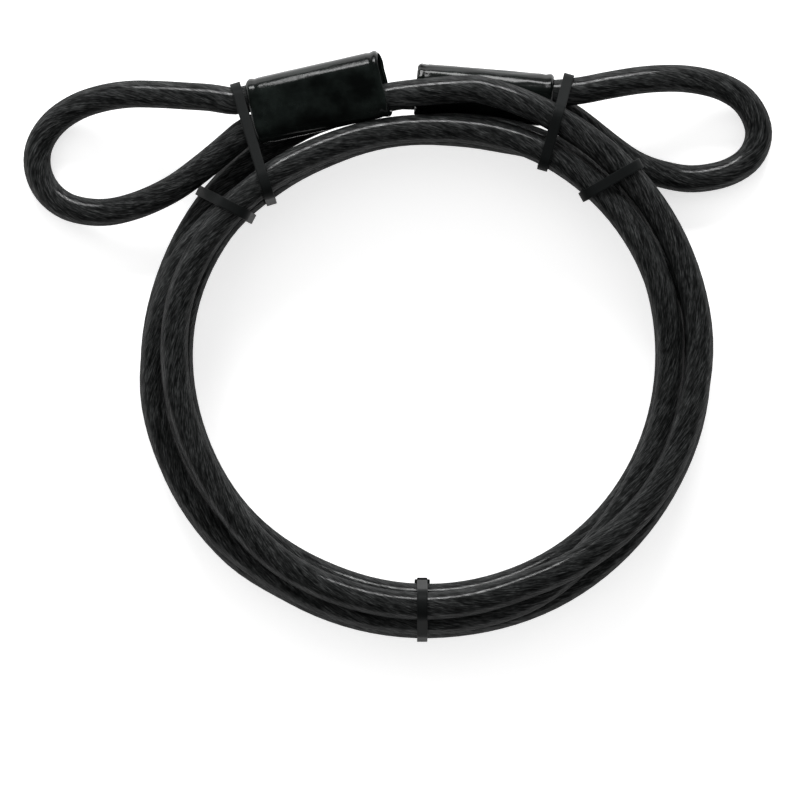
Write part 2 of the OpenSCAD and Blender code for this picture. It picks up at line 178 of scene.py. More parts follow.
def eased(angle, c):
    """Column c of the stations at this turned angle."""
    i = 0
    while i < len(STATIONS) - 2 and angle >= STATIONS[i + 1][0]:
        i += 1
    a, b = STATIONS[i], STATIONS[i + 1]
    w = b[0] - a[0]
    t = (angle - a[0]) / w
    return (
        (1 + 2 * t) * (1 - t) ** 2 * a[c]
        + t * (1 - t) ** 2 * w * slope(i, c)
        + t * t * (3 - 2 * t) * b[c]
        + t * t * (t - 1) * w * slope(i + 1, c)
    )


def beside_coil(place):
    """Point at a turned angle, an offset from the mean radius and a height."""
    turn = math.radians(START_ANGLE - place[0])
    r = COIL_R + place[1]
    x, y = COIL_C[0] + r * math.cos(turn), COIL_C[1] + r * math.sin(turn)
    return Vector((x, y, BASE_Z + place[2]))


def ferrule_axes(side):
    """Middle of a ferrule, its length's direction, and the way across its two bores."""
    f = FERRULES[side]
    yaw, pitch, roll = (math.radians(f[k]) for k in ("yaw", "pitch", "roll"))
    ahead = math.cos(pitch)
    along = Vector((math.cos(yaw) * ahead, math.sin(yaw) * ahead, math.sin(pitch)))
    level = Vector((-math.sin(yaw), math.cos(yaw), 0))
    upright = along.cross(level)
    across = math.cos(roll) * level + math.sin(roll) * upright
    return beside_coil(f["mid"]), along, across


def bore_point(side, s, bore):
    """Point of a ferrule's bore: distance from the middle, and 1 outer or -1 inner."""
    mid, along, across = ferrule_axes(side)
    return mid + s * along + bore * BORE_SPACING / 2 * across


def smooth_path(points, step):
    """Curve through the points, at about this spacing."""
    first = 2 * points[0] - points[1]
    last = 2 * points[-1] - points[-2]
    p = [first, *points, last]
    made = []
    for i in range(1, len(p) - 2):
        a, b, c, d = p[i - 1 : i + 3]
        t1 = math.sqrt((b - a).length)
        t2 = t1 + math.sqrt((c - b).length)
        t3 = t2 + math.sqrt((d - c).length)
        count = max(1, round((c - b).length / step))
        for k in range(count):
            t = t1 + (t2 - t1) * k / count
            ab = ((t1 - t) * a + t * b) / t1
            bc = ((t2 - t) * b + (t - t1) * c) / (t2 - t1)
            cd = ((t3 - t) * c + (t - t2) * d) / (t3 - t2)
            abc = ((t2 - t) * ab + t * bc) / t2
            bcd = ((t3 - t) * bc + (t - t1) * cd) / (t3 - t1)
            made.append(((t2 - t) * abc + (t - t1) * bcd) / (t2 - t1))
    return [*made, points[-1]]


def coil_route():
    turns = [
        beside_coil((a, eased(a, 1), eased(a, 2)))
        for a in range(FIRST_TURN, LAST_TURN + 1, PATH_STEP)
    ]
    return [
        bore_point("left", HALF_FERRULE, -1),
        bore_point("left", HALF_FERRULE + STRAIGHT_OUT, -1),
        *turns,
        bore_point("right", -HALF_FERRULE - STRAIGHT_IN, -1),
        bore_point("right", -HALF_FERRULE, -1),
    ]


def eye_route(side):
    toward = TO_EYE[side]
    places = LEFT_EYE if side == "left" else RIGHT_EYE
    return [
        bore_point(side, toward * HALF_FERRULE, 1),
        bore_point(side, toward * HALF_COVER, 1),
        *(beside_coil(p) for p in places),
        bore_point(side, toward * HALF_COVER, -1),
        bore_point(side, toward * HALF_FERRULE, -1),
    ]


def frames_along(path):
    """Length so far, side and top at each point, carried along without twist."""
    made = []
    top = None
    so_far = 0.0
    for i, p in enumerate(path):
        ahead = path[min(i + 1, len(path) - 1)] - path[max(i - 1, 0)]
        ahead.normalize()
        if top is None:
            top = Vector((0, 0, 1))
        top = (top - top.dot(ahead) * ahead).normalized()
        side = top.cross(ahead)
        if i:
            so_far += (p - path[i - 1]).length
        made.append((p, so_far, side, top))
    return made


# Meshes -----------------------------------------------------------------------
def deselect():
    if bpy.context.mode != "OBJECT":
        bpy.ops.object.mode_set(mode="OBJECT")
    bpy.ops.object.select_all(action="DESELECT")


def only(obj):
    deselect()
    obj.select_set(True)
    bpy.context.view_layer.objects.active = obj


def unpick(kind):
    """Pick by vertex, edge or face, with nothing of the mesh picked yet."""
    bpy.ops.object.mode_set(mode="EDIT")
    bpy.ops.mesh.select_mode(type=kind)
    bpy.ops.mesh.select_all(action="DESELECT")
    bpy.ops.object.mode_set(mode="OBJECT")


def sweep(name, path, walls):
    """Closed tube along the path. Each wall is (points round it, radius at a
    length and turn, outward); one wall makes a rod, two a hollow tube."""
    rings = frames_along(path)
    verts, faces, loops_uv, starts = [], [], [], []
    for sides, radius, outward in walls:
        start = len(verts)
        starts.append((start, sides))
        for p, s, side, top in rings:
            for k in range(sides):
                turn = k / sides
                a = 2 * math.pi * turn
                r = radius(s, turn)
                verts.append(p + r * (math.cos(a) * side + math.sin(a) * top))
        for i in range(len(rings) - 1):
            for k in range(sides):
                n = (k + 1) % sides
                a, b = start + i * sides, start + (i + 1) * sides
                u0, u1 = rings[i][1], rings[i + 1][1]
                v0, v1 = k / sides, (k + 1) / sides
                quad = [(a + k, u0, v0), (a + n, u0, v1), (b + n, u1, v1), (b + k, u1, v0)]
                if not outward:
                    quad.reverse()
                faces.append([q[0] for q in quad])
                loops_uv.append([(q[1], q[2]) for q in quad])
    last = len(rings) - 1
    for end in (0, last):
        if len(walls) == 1:
            start, sides = starts[0]
            around = [start + end * sides + k for k in range(sides)]
            faces.append(around if end else around[::-1])
            loops_uv.append([(rings[end][1], 0.5)] * sides)
            continue
        (outer, sides), (inner, _) = starts
        for k in range(sides):
            n = (k + 1) % sides
            quad = [
                outer + end * sides + k, outer + end * sides + n,
                inner + end * sides + n, inner + end * sides + k,
            ]
            faces.append(quad if end else quad[::-1])
            loops_uv.append([(rings[end][1], 0.5)] * 4)
    mesh = bpy.data.meshes.new(name)
    mesh.from_pydata(verts, [], faces)
    lay = mesh.uv_layers.new(name="Lay")
    flat = [value for face in loops_uv for uv in face for value in uv]
    lay.data.foreach_set("uv", flat)
    mesh.validate()
    obj = bpy.data.objects.new(name, mesh)
    bpy.context.scene.collection.objects.link(obj)
    only(obj)
    bpy.ops.object.shade_smooth_by_angle(angle=math.radians(50))
    return obj


def cable_jacket(name, path, cable):
    outer = cable.diameter / 2
    inner = cable.rope_diameter / 2 + cable.rope_gap
    return sweep(
        name, path,
        [(cable.sides, lambda s, t: outer, True), (cable.sides, lambda s, t: inner, False)],
    )


def wire_rope(name, path, cable):
    """Rope of six strands, twisted along its route."""
    big = cable.rope_diameter / 2
    small, middle = big / 3, big * 2 / 3

    def radius(s, turn):
        share = (turn - s / cable.lay_length) * cable.strands % 1 - 0.5
        a = share * 2 * math.pi / cable.strands
        reach = small ** 2 - (middle * math.sin(a)) ** 2
        return middle * math.cos(a) + math.sqrt(max(reach, 0))

    return sweep(name, path, [(cable.strands * 6, radius, True)])


def finish_piece(obj, material, nodes, body=None):
    obj.data.materials.clear()
    obj.data.materials.append(material)
    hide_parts(*nodes)
    if body:
        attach(obj, body)


# Materials --------------------------------------------------------------------
def node_group(name, inputs, outputs):
    """Empty shader node group with float or vector sockets."""
    if name in bpy.data.node_groups:
        return bpy.data.node_groups[name], None, None
    tree = bpy.data.node_groups.new(name, "ShaderNodeTree")
    for label, kind, value in inputs:
        socket = tree.interface.new_socket(name=label, in_out="INPUT", socket_type=kind)
        if value is not None:
            socket.default_value = value
    for label, kind in outputs:
        tree.interface.new_socket(name=label, in_out="OUTPUT", socket_type=kind)
    return tree, tree.nodes.new("NodeGroupInput"), tree.nodes.new("NodeGroupOutput")


class Graph:
    """Short hand for adding and linking nodes in one tree."""

    def __init__(self, tree):
        self.tree = tree

    def add(self, kind, inputs=None, **settings):
        node = self.tree.nodes.new(kind)
        for key, value in settings.items():
            setattr(node, key, value)
        self.feed(node, inputs or {})
        return node

    def feed(self, node, inputs):
        """Link each input to a socket, or set it to a value."""
        for key, value in inputs.items():
            if isinstance(value, bpy.types.NodeSocket):
                self.tree.links.new(value, node.inputs[key])
            else:
                node.inputs[key].default_value = value

    def math(self, operation, a, b=0.0, clamp=False):
        node = self.add("ShaderNodeMath", {0: a, 1: b}, operation=operation, use_clamp=clamp)
        return node.outputs[0]

    def noise(self, vector, scale, detail, roughness):
        inputs = {"Vector": vector, "Scale": scale, "Detail": detail, "Roughness": roughness}
        return self.add("ShaderNodeTexNoise", inputs).outputs["Fac"]

    def ramp(self, value, low, high):
        """0 up to the low value, 1 from the high one."""
        inputs = {"Value": value, "From Min": low, "From Max": high}
        return self.add("ShaderNodeMapRange", inputs, clamp=True).outputs["Result"]

    def blend(self, share, a, b):
        """Colour a at share 0, colour b at share 1."""
        return self.add("ShaderNodeMix", {0: share, 6: a, 7: b}, data_type="RGBA").outputs[2]

    def creases(self, place, scale):
        inputs = {"Vector": place, "Scale": scale}
        fine = self.add("ShaderNodeGroup", inputs, node_tree=crinkle_group())
        return fine.outputs["Creases"], fine.outputs["Specks"]

    def scaled(self, value, by):
        return self.math("MULTIPLY", value, by)

    def seen(self):
        """1 where a surface is looked at, through glass or in a reflection too."""
        paths = self.add("ShaderNodeLightPath").outputs
        seen = self.math("MAXIMUM", paths["Is Camera Ray"], paths["Is Transmission Ray"])
        return self.math("MAXIMUM", seen, paths["Is Glossy Ray"])

    def bump(self, height, strength, distance):
        inputs = {"Height": height, "Strength": strength, "Distance": distance}
        return self.add("ShaderNodeBump", inputs).outputs["Normal"]


def new_material(name):
    material = bpy.data.materials.new(name)
    material.use_nodes = True
    material.node_tree.nodes.clear()
    graph = Graph(material.node_tree)
    shader = graph.add("ShaderNodeBsdfPrincipled")
    graph.add("ShaderNodeOutputMaterial", {"Surface": shader.outputs["BSDF"]})
    return material, graph, shader


def strand_lay_group():
    """Twisted strands under the vinyl: streaks that follow the lay, and the
    strands' round backs. Reads a length in metres and a turn round the cable."""
    inputs = [
        ("Length", "NodeSocketFloat", 0.0), ("Turn", "NodeSocketFloat", 0.0),
        ("Strands", "NodeSocketFloat", 6.0), ("Lay Length", "NodeSocketFloat", 0.06),
    ]
    outputs = [(label, "NodeSocketFloat") for label in ("Streaks", "Backs", "Wires")]
    tree, inside, outside = node_group("Strand lay", inputs, outputs)
    if inside is None:
        return tree
    g = Graph(tree)
    length, turn = inside.outputs["Length"], inside.outputs["Turn"]
    twist = g.math("SUBTRACT", turn, g.math("DIVIDE", length, inside.outputs["Lay Length"]))
    share = g.math("FRACT", g.scaled(twist, inside.outputs["Strands"]))
    off = g.math("ABSOLUTE", g.math("SUBTRACT", share, 0.5))
    backs = g.math("SUBTRACT", 1.0, g.math("POWER", g.scaled(off, 2.0), 2.5))
    angle = g.scaled(twist, 2 * math.pi)

    def marks(along, around, detail, roughness):
        """Noise drawn out along the lay: marks per metre, and round the cable."""
        parts = {
            "X": g.scaled(length, along),
            "Y": g.scaled(g.math("COSINE", angle), around),
            "Z": g.scaled(g.math("SINE", angle), around),
        }
        place = g.add("ShaderNodeCombineXYZ", parts).outputs[0]
        return g.noise(place, 1.0, detail, roughness)

    broad = g.scaled(marks(60.0, 2.4, 3.0, 0.6), 0.3)
    streaks = g.math("ADD", broad, g.scaled(marks(210.0, 8.5, 3.0, 0.6), 0.7))
    wires = marks(420.0, 17.0, 2.0, 0.5)
    g.feed(outside, {"Streaks": streaks, "Backs": backs, "Wires": wires})
    return tree


def crinkle_group():
    """Fine creases and specks of thin vinyl or nylon, on object coordinates."""
    inputs = [("Vector", "NodeSocketVector", None), ("Scale", "NodeSocketFloat", 400.0)]
    outputs = [("Creases", "NodeSocketFloat"), ("Specks", "NodeSocketFloat")]
    tree, inside, outside = node_group("Fine creases", inputs, outputs)
    if inside is None:
        return tree
    g = Graph(tree)
    vector, scale = inside.outputs["Vector"], inside.outputs["Scale"]
    soft = g.noise(vector, scale, 4.0, 0.55)
    ridge = g.math("ABSOLUTE", g.math("SUBTRACT", soft, 0.5))
    creases = g.math("SUBTRACT", 1.0, g.scaled(ridge, 4.0), clamp=True)
    specks = g.noise(vector, g.scaled(scale, 6.0), 2.0, 0.5)
    g.feed(outside, {"Creases": creases, "Specks": specks})
    return tree


def rgba(colour, by=1):
    return (*(c * by for c in colour), 1.0)


def cable_vinyl(cable):
    """Clear smoked vinyl over twisted wire strands."""
    material, g, shader = new_material("Smoked cable vinyl")
    uv = g.add("ShaderNodeUVMap", uv_map="Lay").outputs["UV"]
    split = g.add("ShaderNodeSeparateXYZ", {0: uv}).outputs
    inputs = {
        "Length": split["X"], "Turn": split["Y"],
        "Strands": cable.strands, "Lay Length": cable.lay_length,
    }
    lay = g.add("ShaderNodeGroup", inputs, node_tree=strand_lay_group()).outputs
    streaks = g.math("POWER", g.ramp(lay["Streaks"], 0.36, 0.68), 1.4)
    backs = lay["Backs"]
    wires = g.ramp(lay["Wires"], 0.35, 0.75)
    # Streaks lighter on the strands' backs and darker between them: painted shade in the grooves
    # between the strands
    shown = g.scaled(streaks, g.math("ADD", 0.6, g.scaled(backs, 0.4)))
    shown = g.scaled(shown, g.math("ADD", 0.4, g.scaled(wires, 1.2)))
    height = g.math("ADD", g.scaled(backs, 0.35), g.scaled(streaks, 0.5))
    height = g.math("ADD", height, g.scaled(wires, 0.25))
    gloss = g.math("ADD", 0.14, g.scaled(g.math("ADD", streaks, wires), 0.5), clamp=True)
    # The coat thins where the cable turns away from the view: painted shade along the cable's
    # edges
    facing = g.add("ShaderNodeLayerWeight", {"Blend": 0.5}).outputs["Facing"]
    painted_edge_shade = g.math("SUBTRACT", 1.0, g.scaled(g.math("POWER", facing, 1.2), 1.5), clamp=True)
    g.feed(shader, {
        "Base Color": g.blend(shown, rgba(cable.vinyl_colour), rgba(cable.streak_colour)),
        "Roughness": g.math("ADD", 0.38, g.scaled(lay["Wires"], 0.3)),
        "Normal": g.bump(height, 0.6, 0.00025),
        "Coat Weight": g.scaled(gloss, painted_edge_shade),
        "Coat Roughness": 0.15,
        "Coat IOR": 1.4,
        "Specular IOR Level": 0.03,
    })
    return material


def cover_vinyl(cover):
    """Shrunk black vinyl with fine creases."""
    material, g, shader = new_material("Shrunk cover vinyl")
    place = g.add("ShaderNodeTexCoord").outputs["Object"]
    creases, specks = g.creases(place, 220.0)
    # Lighter cloudy patches, lighter still along the creases: painted reflections on the black
    # vinyl
    cloudy = g.ramp(g.noise(place, 70.0, 4.0, 0.55), 0.38, 0.68)
    painted_sheen = g.scaled(cloudy, g.math("ADD", 0.4, g.scaled(creases, 0.6)))
    height = g.math("ADD", creases, g.scaled(specks, 0.3))
    g.feed(shader, {
        "Base Color": g.blend(painted_sheen, rgba(cover.colour), rgba(cover.colour, 6)),
        "Roughness": g.math("ADD", 0.10, g.scaled(specks, 0.16)),
        "Normal": g.bump(height, 0.2, 0.00012),
        "Specular IOR Level": 0.25,
    })
    return material


def tie_nylon(tie):
    """Satin moulded nylon."""
    material, g, shader = new_material("Satin nylon")
    place = g.add("ShaderNodeTexCoord").outputs["Object"]
    specks = g.creases(place, 500.0)[1]
    g.feed(shader, {
        "Base Color": g.blend(specks, rgba(tie.colour), rgba(tie.colour, 1.8)),
        "Roughness": g.math("ADD", 0.42, g.scaled(specks, 0.2)),
        "Normal": g.bump(specks, 0.15, 0.0001),
        "Specular IOR Level": 0.06,
    })
    return material


def bare_metal(name, colour, roughness, scale):
    """Drawn or pressed metal with fine marks."""
    material, g, shader = new_material(name)
    place = g.add("ShaderNodeTexCoord").outputs["Object"]
    creases, specks = g.creases(place, scale)
    g.feed(shader, {
        "Base Color": g.blend(creases, rgba(colour), rgba(colour, 0.6)),
        "Roughness": g.math("ADD", roughness, g.scaled(specks, 0.25)),
        "Normal": g.bump(specks, 0.2, 0.0001),
        "Metallic": 1.0,
    })
    return material


def zinc(cable):
    return bare_metal("Zinc-coated rope", cable.steel_colour, 0.3, 900.0)


def shared_material(name, make, *settings):
    return bpy.data.materials.get(name) or make(*settings)


def cable_materials(cable):
    """Vinyl and steel of the cable, shared by the coil and the eyes."""
    return (
        shared_material("Smoked cable vinyl", cable_vinyl, cable),
        shared_material("Zinc-coated rope", zinc, cable),
    )


# Settings ---------------------------------------------------------------------
class CableSettings(bpy.types.PropertyGroup):
    diameter: bpy.props.FloatProperty(
        name="Cable Diameter", description="Outer diameter of the vinyl jacket",
        default=0.010, unit="LENGTH")
    rope_diameter: bpy.props.FloatProperty(
        name="Rope Diameter", description="Diameter of the steel rope inside",
        default=0.0075, unit="LENGTH")
    rope_gap: bpy.props.FloatProperty(
        name="Rope Gap", description="Running gap between the rope and its jacket",
        default=0.00015, unit="LENGTH")
    strands: bpy.props.IntProperty(
        name="Strands", description="Outer strands of the rope", default=6)
    lay_length: bpy.props.FloatProperty(
        name="Lay Length", description="Length in which a strand goes once round",
        default=0.110, unit="LENGTH")
    sides: bpy.props.IntProperty(
        name="Sides", description="Points round the cable", default=28)
    step: bpy.props.FloatProperty(
        name="Step", description="Spacing of the rings along the cable",
        default=0.0042, unit="LENGTH")
    vinyl_colour: bpy.props.FloatVectorProperty(
        name="Vinyl Colour", description="Colour of the smoked vinyl",
        default=(0.0024, 0.0028, 0.0028), subtype="COLOR")
    streak_colour: bpy.props.FloatVectorProperty(
        name="Streak Colour", description="Colour of the strands seen through the vinyl",
        default=(0.050, 0.052, 0.052), subtype="COLOR")
    steel_colour: bpy.props.FloatVectorProperty(
        name="Steel Colour", description="Colour of the zinc-coated rope",
        default=(0.42, 0.43, 0.44), subtype="COLOR")


class CoverSettings(bpy.types.PropertyGroup):
    wall: bpy.props.FloatProperty(
        name="Wall", description="Thickness of the shrunk vinyl", default=0.0011, unit="LENGTH")
    rim_width: bpy.props.FloatProperty(
        name="Rim Width", description="Width of the rolled rim at each end",
        default=0.0024, unit="LENGTH")
    rim_height: bpy.props.FloatProperty(
        name="Rim Height", description="Height of that rim over the cover",
        default=0.00018, unit="LENGTH")
    crinkle: bpy.props.FloatProperty(
        name="Crinkle", description="Height of the long wrinkles", default=0.00012, unit="LENGTH")
    colour: bpy.props.FloatVectorProperty(
        name="Cover Colour", description="Colour of the covers",
        default=(0.0014, 0.0019, 0.0017), subtype="COLOR")
    ferrule_colour: bpy.props.FloatVectorProperty(
        name="Ferrule Colour", description="Colour of the pressed ferrules",
        default=(0.7, 0.71, 0.72), subtype="COLOR")


class TieSettings(bpy.types.PropertyGroup):
    width: bpy.props.FloatProperty(
        name="Strap Width", description="Width of a strap", default=0.0038, unit="LENGTH")
    thickness: bpy.props.FloatProperty(
        name="Strap Thickness", description="Thickness of a strap", default=0.0011, unit="LENGTH")
    slack: bpy.props.FloatProperty(
        name="Slack", description="Gap between a strap and the cables",
        default=0.0002, unit="LENGTH")
    head_length: bpy.props.FloatProperty(
        name="Head Length", description="Length of a tie's head", default=0.006, unit="LENGTH")
    head_width: bpy.props.FloatProperty(
        name="Head Width", description="Width of a tie's head", default=0.0056, unit="LENGTH")
    tail: bpy.props.FloatProperty(
        name="Tail", description="Length of the cut tail past the head",
        default=0.002, unit="LENGTH")
    colour: bpy.props.FloatVectorProperty(
        name="Tie Colour", description="Colour of the nylon",
        default=(0.0042, 0.0048, 0.0048), subtype="COLOR")


class StageSettings(bpy.types.PropertyGroup):
    floor_colour: bpy.props.FloatVectorProperty(
        name="Floor Colour", description="Colour of the floor", default=(0.85, 0.85, 0.85),
        subtype="COLOR")
    distance: bpy.props.FloatProperty(
        name="Camera Distance", description="Height of the camera over the object",
        default=4.0, unit="LENGTH")
    overhead_power: bpy.props.FloatProperty(
        name="Overhead Power", description="Power of the broad lamp overhead",
        default=6.0, unit="POWER")
    softbox_power: bpy.props.FloatProperty(
        name="Softbox Power", description="Power of the low lamp that draws the highlights",
        default=14.5, unit="POWER")


# Operators --------------------------------------------------------------------
class CABLELOCK_OT_camera(bpy.types.Operator):
    """Place the camera straight above the coil"""

    bl_idname = "cablelock.camera"
    bl_label = "Camera"

    def execute(self, context):
        stage = context.scene.cablelock_stage
        deselect()
        spot = (*VIEW_MIDDLE, VIEW_PLANE + stage.distance)
        bpy.ops.object.camera_add(location=spot, rotation=(0, 0, 0))
        camera = context.active_object
        camera.name = "Camera"
        camera.data.sensor_width = SENSOR
        camera.data.lens = SENSOR / 2 / (VIEW_WIDTH / 2 / stage.distance)
        camera.data.clip_end = 100
        context.scene.camera = camera
        return {"FINISHED"}


class CABLELOCK_OT_coil_cable(bpy.types.Operator):
    """Make the coil's vinyl jacket and the rope inside it"""

    bl_idname = "cablelock.coil_cable"
    bl_label = "Coil Cable"

    def execute(self, context):
        cable = context.scene.cablelock_cable
        vinyl, steel = cable_materials(cable)
        route = coil_route()
        path = smooth_path(route, cable.step)
        jacket = cable_jacket("coil_cable_jacket", path, cable)
        finish_piece(jacket, vinyl, ["coil_jacket"], "coil")
        # The bare rope goes on through both ferrules
        first, last = bore_point("left", -HALF_FERRULE, -1), bore_point("right", HALF_FERRULE, -1)
        rope_path = smooth_path([first, *route, last], cable.step)
        rope = wire_rope("coil_cable_rope", rope_path, cable)
        finish_piece(rope, steel, ["coil_rope"], "coil")
        return {"FINISHED"}


class CABLELOCK_OT_eyes(bpy.types.Operator):
    """Make the cable of both eyes, which bends between the ferrules and the loops"""

    bl_idname = "cablelock.eyes"
    bl_label = "Eyes"

    def execute(self, context):
        cable = context.scene.cablelock_cable
        vinyl, steel = cable_materials(cable)
        for side in ("left", "right"):
            route = eye_route(side)
            path = smooth_path(route, cable.step / 2)
            jacket = cable_jacket(side + "_eye_cable_jacket", path, cable)
            nodes = [side + "_eye_jacket", side + "_neck_jackets"]
            finish_piece(jacket, vinyl, nodes)
            # The bare rope's dead end goes back through the outer bore
            dead_end = bore_point(side, -TO_EYE[side] * HALF_FERRULE, 1)
            rope_path = smooth_path([dead_end, *route], cable.step / 2)
            rope = wire_rope(side + "_eye_cable_rope", rope_path, cable)
            nodes = [side + "_eye_rope", side + "_neck_ropes"]
            finish_piece(rope, steel, nodes)
            for piece in (jacket, rope):
                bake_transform(piece)
        return {"FINISHED"}


COVER_ROUND = 120  # points round a cover, and rings between its ends
COVER_CUTS = 83
COVER_SEEDS = {"left": 3.1, "right": 11.7}
CRINKLED = {"left": 1.0, "right": 2.2}  # share of the usual wrinkles' height
CRUMPLED_MOUTH = {"left": 0.0, "right": 0.0006}  # height at the end towards the coil
MOUTH_REACH = 0.007
GROOVE_DEPTH = 0.0002  # behind each rim
CURL_DEPTH = 0.0009  # the rim's edge, inwards
SHRUNK = 0.00015  # all over, inside the solid's oval
UNEVEN_CUT = 0.0004  # of the ends, and how far it reaches along the cover
UNEVEN_REACH = 0.004
# Noise of the wrinkles: marks round the cover, and per metre along it
LONG_WRINKLES = (2.6, 22)
SHORT_WRINKLES = (7, 130)
MOUTH_WRINKLES = (5, 260)
CUT_WRINKLES = (1.7, 0)


def oval_point(turn, w, h, grow):
    """Point on an oval of two half circles, grown outwards, by share of its girth."""
    r = h / 2
    flat = w - h
    girth = 2 * flat + 2 * math.pi * r
    s = (turn % 1) * girth
    if s < flat:
        p, n = Vector((r, -flat / 2 + s)), Vector((1, 0))
    elif s < flat + math.pi * r:
        a = (s - flat) / r
        n = Vector((math.cos(a), math.sin(a)))
        p = Vector((0, flat / 2)) + r * n
    elif s < 2 * flat + math.pi * r:
        p, n = Vector((-r, flat / 2 - (s - flat - math.pi * r))), Vector((-1, 0))
    else:
        a = math.pi + (s - 2 * flat - math.pi * r) / r
        n = Vector((math.cos(a), math.sin(a)))
        p = Vector((0, -flat / 2)) + r * n
    return p + grow * n


def bell(x, middle, spread):
    return math.exp(-((x - middle) / spread) ** 2)


class CABLELOCK_OT_ferrule_covers(bpy.types.Operator):
    """Make the crinkled vinyl covers over the two ferrules"""

    bl_idname = "cablelock.ferrule_covers"
    bl_label = "Ferrule Covers"

    def shape(self, obj, side, cover):
        """Bring a straight tube to the cover's shrunk, crinkled oval."""
        seed = COVER_SEEDS[side]
        for v in obj.data.vertices:
            turn = math.atan2(v.co.y, v.co.x) / (2 * math.pi)
            s = v.co.z
            end = HALF_COVER - abs(s)
            a = 2 * math.pi * turn
            long_way, short_way, mouth_way, cut_way = (
                Vector((math.cos(a) * around, math.sin(a) * around, s * along + seed))
                for around, along in (LONG_WRINKLES, SHORT_WRINKLES, MOUTH_WRINKLES, CUT_WRINKLES)
            )
            long_wrinkle = noise.noise(long_way) + 0.5 * noise.noise(long_way * 2.3)
            wrinkles = 0.8 * long_wrinkle + 0.35 * noise.noise(short_way)
            grow = cover.crinkle * CRINKLED[side] * wrinkles
            mouth = max(0.0, 1 - (s + HALF_COVER) / MOUTH_REACH) ** 2
            grow += CRUMPLED_MOUTH[side] * mouth * noise.noise(mouth_way)
            rim = bell(end, cover.rim_width * 0.5, cover.rim_width * 0.42)
            groove = bell(end, cover.rim_width * 1.35, cover.rim_width * 0.3)
            curl = max(0.0, 1 - end / (cover.rim_width * 0.45)) ** 2
            grow += cover.rim_height * rim - GROOVE_DEPTH * groove - CURL_DEPTH * curl - SHRUNK
            p = oval_point(turn, COVER_W, COVER_H, grow)
            uneven = UNEVEN_CUT * noise.noise(cut_way)
            shift = math.copysign(1, s) * uneven * max(0, 1 - end / UNEVEN_REACH)
            v.co = Vector((p.x, p.y, s + shift))

    def execute(self, context):
        cover = context.scene.cablelock_cover
        vinyl = shared_material("Shrunk cover vinyl", cover_vinyl, cover)
        for side in ("left", "right"):
            deselect()
            bpy.ops.mesh.primitive_cylinder_add(
                vertices=COVER_ROUND, radius=COVER_H / 2, depth=2 * HALF_COVER,
                end_fill_type="NOTHING", location=(0, 0, 0))
            obj = context.active_object
            obj.name = side + "_cover"
            unpick("EDGE")
            for edge in obj.data.edges:
                a, b = (obj.data.vertices[i].co.z for i in edge.vertices)
                edge.select = abs(a - b) > HALF_COVER
            bpy.ops.object.mode_set(mode="EDIT")
            bpy.ops.mesh.subdivide(number_cuts=COVER_CUTS)
            bpy.ops.object.mode_set(mode="OBJECT")
            self.shape(obj, side, cover)
            wall = obj.modifiers.new("Wall", "SOLIDIFY")
            wall.thickness = cover.wall
            wall.offset = -1
            bpy.ops.object.modifier_apply(modifier=wall.name)
            mid, along, across = ferrule_axes(side)
            up = across.cross(along)
            turn = Matrix((up, across, along)).transposed().to_4x4()
            obj.data.transform(Matrix.Translation(mid) @ turn)
            bpy.ops.object.shade_smooth_by_angle(angle=math.radians(60))
            finish_piece(obj, vinyl, [side + "_ferrule_cover"], "coil")
        return {"FINISHED"}


class CABLELOCK_OT_ferrules(bpy.types.Operator):
    """Give the pressed ferrules their metal"""

    bl_idname = "cablelock.ferrules"
    bl_label = "Ferrules"

    def execute(self, context):
        cover = context.scene.cablelock_cover
        metal = bare_metal("Pressed aluminium", cover.ferrule_colour, 0.28, 300.0)
        for side in ("left", "right"):
            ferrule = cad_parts[side + "_ferrule"]
            ferrule.data.materials.clear()
            ferrule.data.materials.append(metal)
        return {"FINISHED"}


def tie_plane(at):
    """Plan point and outward direction of a strap's plane, and its normal."""
    if "cover" in at:
        mouth = bore_point(at["cover"], TO_EYE[at["cover"]] * HALF_COVER, 0)
        origin = Vector((mouth.x + at["way"][0], mouth.y + at["way"][1], 0))
    else:
        origin = beside_coil(at["place"])
        origin.z = 0
    yaw = math.radians(at["yaw"])
    out = Vector((math.cos(yaw), math.sin(yaw), 0))
    return origin, out, Vector((0, 0, 1)).cross(out)


def strands_in(origin, out, off, paths):
    """Where the cables cross a strap's edge, as (outwards, up) pairs."""
    found = []
    for path in paths:
        for a, b in zip(path, path[1:]):
            d0, d1 = ((p - origin).dot(off) for p in (a, b))
            if d0 * d1 < 0:
                p = a.lerp(b, d0 / (d0 - d1))
                if abs((p - origin).dot(out)) < TIE_REACH:
                    found.append(Vector(((p - origin).dot(out), p.z)))
    return found


def strap_line(strands, r, step):
    """Closed line that a strap takes round the strands, evenly spaced."""
    angles = (math.radians(360 / HULL_POINTS * k) for k in range(HULL_POINTS))
    circle = [Vector((math.cos(a), math.sin(a))) for a in angles]
    cloud = [s + r * c for s in strands for c in circle]
    hull = [cloud[i] for i in geometry.convex_hull_2d(cloud)]
    lengths = [(b - a).length for a, b in zip(hull, hull[1:] + hull[:1])]
    total = sum(lengths)
    count = round(total / step)
    made, at, i = [], 0.0, 0
    for k in range(count):
        want = total * k / count
        while at + lengths[i] < want:
            at += lengths[i]
            i += 1
        made.append(hull[i].lerp(hull[(i + 1) % len(hull)], (want - at) / lengths[i]))
    return made


